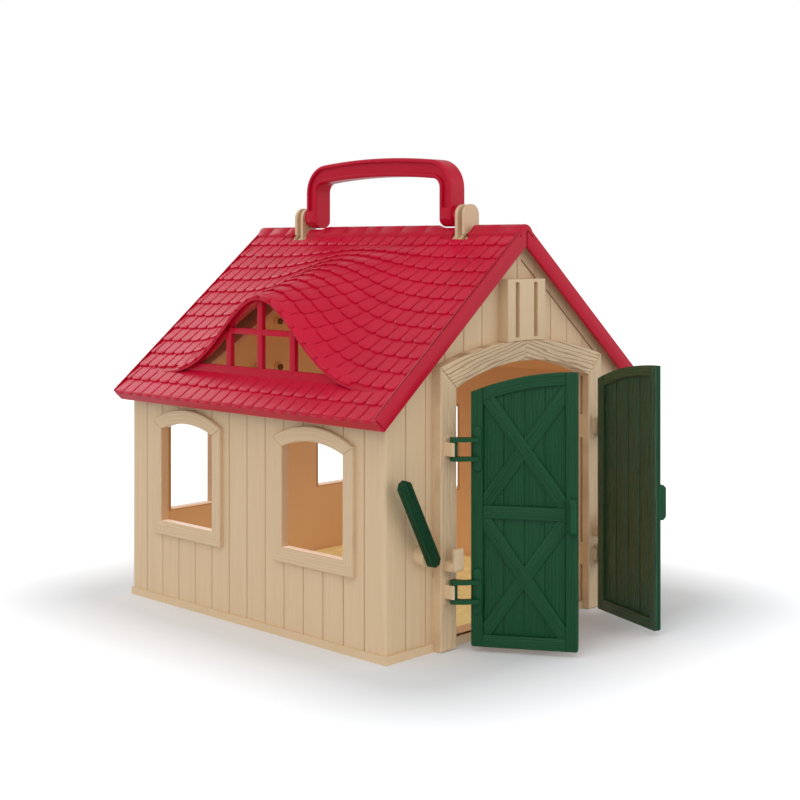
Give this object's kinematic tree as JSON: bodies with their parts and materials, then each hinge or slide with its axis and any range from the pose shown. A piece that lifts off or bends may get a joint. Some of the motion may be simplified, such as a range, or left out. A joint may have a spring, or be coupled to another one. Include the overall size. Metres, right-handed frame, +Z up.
{
  "type": "toy barn",
  "caption": "Carry-along toy barn with planked walls, arched windows, hinged double doors, a tiled gable roof with a curved dormer that lifts open, and a folding handle.",
  "frame": {"origin": "Centre of the wall footprint on the flat underside of the floor pan.", "axes": "+X to the right when facing the doors, +Y from the doors to the back gable, +Z up."},
  "size_m": [0.2742, 0.3338, 0.3057],
  "materials": {
    "barn_beige": "satin moulded plastic with a wood grain texture",
    "roof_red": "semi gloss moulded plastic",
    "door_green": "semi gloss moulded plastic",
    "straw_yellow": "matt moulded straw texture",
    "screw_steel": "plain zinc plated steel"
  },
  "bodies": {
    "house": {"floor_pan": "barn_beige", "straw_floor": "straw_yellow", "left_wall": "barn_beige", "right_wall": "barn_beige", "front_gable": "barn_beige", "back_gable": "barn_beige", "back_gable_screws": "screw_steel", "door_frame": "barn_beige", "window_frame_left_front": "barn_beige", "window_frame_left_rear": "barn_beige", "window_frame_right_front": "barn_beige", "window_frame_right_rear": "barn_beige", "window_frame_back_left": "barn_beige", "window_frame_back_right": "barn_beige", "roof_right_shell": "roof_red", "roof_right_liner": "barn_beige", "roof_right_screws": "screw_steel"},
    "roof_left": {"roof_left_shell": "roof_red", "roof_left_liner": "barn_beige", "roof_left_screws": "screw_steel", "dormer_window": "roof_red"},
    "handle": {"handle_grip": "roof_red", "handle_pins": "screw_steel"},
    "door_left": {"door_left_leaf": "door_green", "door_left_hinge_brackets": "door_green", "door_left_pull": "door_green"},
    "door_right": {"door_right_leaf": "door_green", "door_right_hinge_brackets": "door_green", "door_right_pull": "door_green"},
    "latch_left": {"latch_bar_left": "door_green"},
    "latch_right": {"latch_bar_right": "door_green"}
  },
  "joints": [
    {"name": "roof_left_hinge", "type": "hinge", "parent": "house", "child": "roof_left", "pos_m": [0, 0, 0.2652], "axis": [0, 1, 0], "range_deg": [0, 95]},
    {"name": "handle_swing", "type": "hinge", "parent": "house", "child": "handle", "pos_m": [0, 0, 0.2652], "axis": [0, 1, 0], "range_deg": [-100, 100]},
    {"name": "door_left_hinge", "type": "hinge", "parent": "house", "child": "door_left", "pos_m": [-0.0739, -0.1377, 0.08], "axis": [0, 0, -1], "range_deg": [-58.6, 101.4]},
    {"name": "door_right_hinge", "type": "hinge", "parent": "house", "child": "door_right", "pos_m": [0.0739, -0.1377, 0.08], "axis": [0, 0, 1], "range_deg": [-70.1, 89.9]},
    {"name": "latch_left_pivot", "type": "hinge", "parent": "house", "child": "latch_left", "pos_m": [-0.091, -0.1356, 0.0595], "axis": [0, 1, 0], "range_deg": [-25, 118]},
    {"name": "latch_right_pivot", "type": "hinge", "parent": "house", "child": "latch_right", "pos_m": [0.091, -0.1356, 0.0595], "axis": [0, -1, 0], "range_deg": [-25, 118]}
  ]
}
